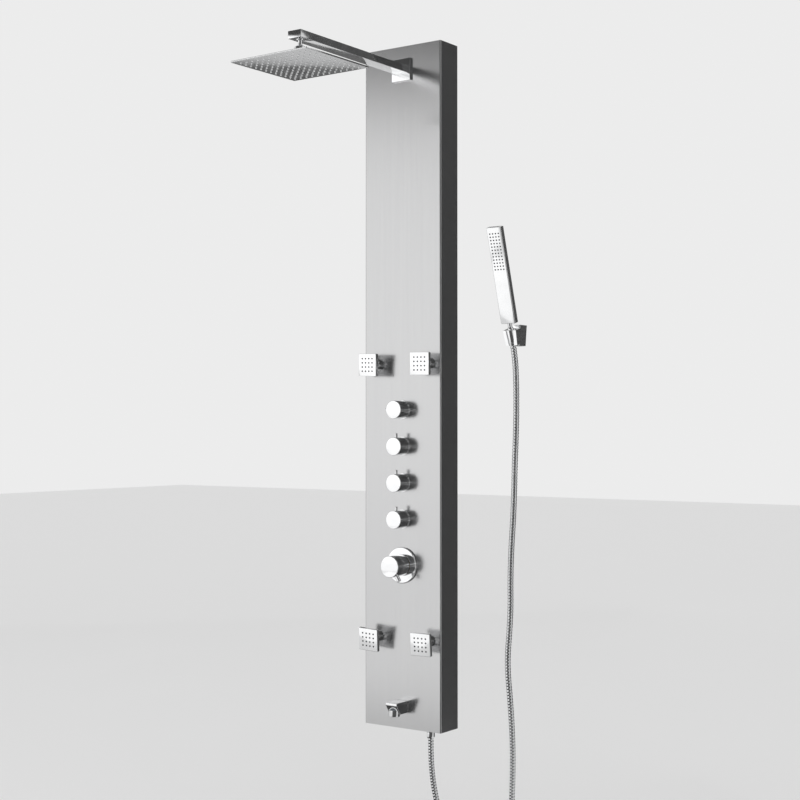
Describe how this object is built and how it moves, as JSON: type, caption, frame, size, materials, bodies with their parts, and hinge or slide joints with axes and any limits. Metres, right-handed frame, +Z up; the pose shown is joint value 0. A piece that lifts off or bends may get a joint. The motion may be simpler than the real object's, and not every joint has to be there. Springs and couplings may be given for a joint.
{
  "type": "shower panel column",
  "caption": "Wall-hung shower panel with a rain head on an arm, swivelling body jets, stop valves, a mixing valve, a tub spout, and a hand shower on its own bracket and hose.",
  "frame": {"origin": "middle of the upper wall bracket's screw line, on the wall plane", "axes": "+X to the right as the user faces the panel, +Y into the wall, +Z up"},
  "size_m": [0.3905, 0.5327, 1.8099],
  "materials": {
    "brushed_tray": "vertical brushed grain",
    "plain_steel": "plain mill finish",
    "polished_chrome": "mirror polish",
    "bare_brass": "turned, bare",
    "copper_tube": "drawn copper",
    "seat_plastic": "smooth",
    "cartridge_plastic": "moulded",
    "nozzle_rubber": "soft matt",
    "hose_steel": "ribbed, polished"
  },
  "bodies": {
    "panel": {"panel_tray": "brushed_tray", "wall_brackets": "plain_steel", "hook_rails": "plain_steel", "wand_wall_plate": "plain_steel", "shower_arm": "polished_chrome", "arm_flange": "polished_chrome", "head_ball_stud": "polished_chrome", "jet_collars": "polished_chrome", "valve_rosettes": "polished_chrome", "mixer_escutcheon": "polished_chrome", "spout_body": "polished_chrome", "hose_nut": "polished_chrome", "wand_holder": "polished_chrome", "jet_sockets": "bare_brass", "tail_nuts": "bare_brass", "valve_body": "bare_brass", "valve_headworks": "bare_brass", "valve_locknuts": "bare_brass", "mixer_bonnet": "bare_brass", "pipe_elbows": "bare_brass", "hand_outlet": "bare_brass", "outlet_locknut": "bare_brass", "pipe_head": "copper_tube", "pipe_spout": "copper_tube", "pipe_jets_left": "copper_tube", "pipe_jets_right": "copper_tube", "pipe_hand": "copper_tube", "mixer_cartridge": "cartridge_plastic", "spout_aerator": "seat_plastic", "hose": "hose_steel"},
    "knob_1": {"knob_1": "polished_chrome", "valve_spindle_1": "bare_brass"},
    "knob_2": {"knob_2": "polished_chrome", "valve_spindle_2": "bare_brass"},
    "knob_3": {"knob_3": "polished_chrome", "valve_spindle_3": "bare_brass"},
    "knob_4": {"knob_4": "polished_chrome", "valve_spindle_4": "bare_brass"},
    "mixer_handle": {"mixer_handle": "polished_chrome", "mixer_spindle": "bare_brass"},
    "head_swivel": {"head_ball_cup": "seat_plastic"},
    "rain_head": {"head_collar": "polished_chrome", "head_cover": "polished_chrome", "head_face_plate": "polished_chrome", "head_nozzles": "nozzle_rubber"},
    "jet_swivel_upper_left": {"jet_seat_upper_left": "seat_plastic"},
    "jet_upper_left": {"jet_plate_upper_left": "polished_chrome", "jet_nozzles_upper_left": "nozzle_rubber"},
    "jet_swivel_upper_right": {"jet_seat_upper_right": "seat_plastic"},
    "jet_upper_right": {"jet_plate_upper_right": "polished_chrome", "jet_nozzles_upper_right": "nozzle_rubber"},
    "jet_swivel_lower_left": {"jet_seat_lower_left": "seat_plastic"},
    "jet_lower_left": {"jet_plate_lower_left": "polished_chrome", "jet_nozzles_lower_left": "nozzle_rubber"},
    "jet_swivel_lower_right": {"jet_seat_lower_right": "seat_plastic"},
    "jet_lower_right": {"jet_plate_lower_right": "polished_chrome", "jet_nozzles_lower_right": "nozzle_rubber"},
    "hand_shower": {"wand_body": "polished_chrome", "wand_nozzles": "nozzle_rubber", "wand_cone_nut": "polished_chrome"}
  },
  "joints": [
    {"name": "knob_1_turn", "type": "hinge", "parent": "panel", "child": "knob_1", "pos_m": [0, -0.085, -0.6907], "axis": [0, -1, 0], "range_deg": [-90, 0]},
    {"name": "knob_2_turn", "type": "hinge", "parent": "panel", "child": "knob_2", "pos_m": [0, -0.085, -0.7721], "axis": [0, -1, 0], "range_deg": [0, 90]},
    {"name": "knob_3_turn", "type": "hinge", "parent": "panel", "child": "knob_3", "pos_m": [0, -0.085, -0.8535], "axis": [0, -1, 0], "range_deg": [0, 90]},
    {"name": "knob_4_turn", "type": "hinge", "parent": "panel", "child": "knob_4", "pos_m": [0, -0.085, -0.9349], "axis": [0, -1, 0], "range_deg": [0, 90]},
    {"name": "mixer_turn", "type": "hinge", "parent": "panel", "child": "mixer_handle", "pos_m": [0, -0.1, -1.0375], "axis": [0, -1, 0], "range_deg": [-30, 150]},
    {"name": "head_spin", "type": "hinge", "parent": "panel", "child": "head_swivel", "pos_m": [0, -0.431, 0.045], "axis": [0, 0, 1], "continuous": true},
    {"name": "head_tilt", "type": "hinge", "parent": "head_swivel", "child": "rain_head", "pos_m": [0, -0.431, 0.045], "axis": [1, 0, 0], "range_deg": [-12, 12]},
    {"name": "jet_pan_upper_left", "type": "hinge", "parent": "panel", "child": "jet_swivel_upper_left", "pos_m": [-0.07, -0.0735, -0.589], "axis": [0, 0, 1], "range_deg": [-12, 18]},
    {"name": "jet_tilt_upper_left", "type": "hinge", "parent": "jet_swivel_upper_left", "child": "jet_upper_left", "pos_m": [-0.07, -0.0735, -0.589], "axis": [0.9986, -0.0523, 0], "range_deg": [-17, 13]},
    {"name": "jet_pan_upper_right", "type": "hinge", "parent": "panel", "child": "jet_swivel_upper_right", "pos_m": [0.07, -0.0735, -0.589], "axis": [0, 0, 1], "range_deg": [-15, 15]},
    {"name": "jet_tilt_upper_right", "type": "hinge", "parent": "jet_swivel_upper_right", "child": "jet_upper_right", "pos_m": [0.07, -0.0735, -0.589], "axis": [1, 0, 0], "range_deg": [-17, 13]},
    {"name": "jet_pan_lower_left", "type": "hinge", "parent": "panel", "child": "jet_swivel_lower_left", "pos_m": [-0.07, -0.0735, -1.2015], "axis": [0, 0, 1], "range_deg": [-17, 13]},
    {"name": "jet_tilt_lower_left", "type": "hinge", "parent": "jet_swivel_lower_left", "child": "jet_lower_left", "pos_m": [-0.07, -0.0735, -1.2015], "axis": [0.9994, 0.0349, 0], "range_deg": [-22, 8]},
    {"name": "jet_pan_lower_right", "type": "hinge", "parent": "panel", "child": "jet_swivel_lower_right", "pos_m": [0.07, -0.0735, -1.2015], "axis": [0, 0, 1], "range_deg": [-19, 11]},
    {"name": "jet_tilt_lower_right", "type": "hinge", "parent": "jet_swivel_lower_right", "child": "jet_lower_right", "pos_m": [0.07, -0.0735, -1.2015], "axis": [0.9976, 0.0698, 0], "range_deg": [-21, 9]},
    {"name": "hand_shower_lift", "type": "slide", "parent": "panel", "child": "hand_shower", "axis": [0, -0.2924, 0.9563], "range_m": [0, 0.06]}
  ]
}
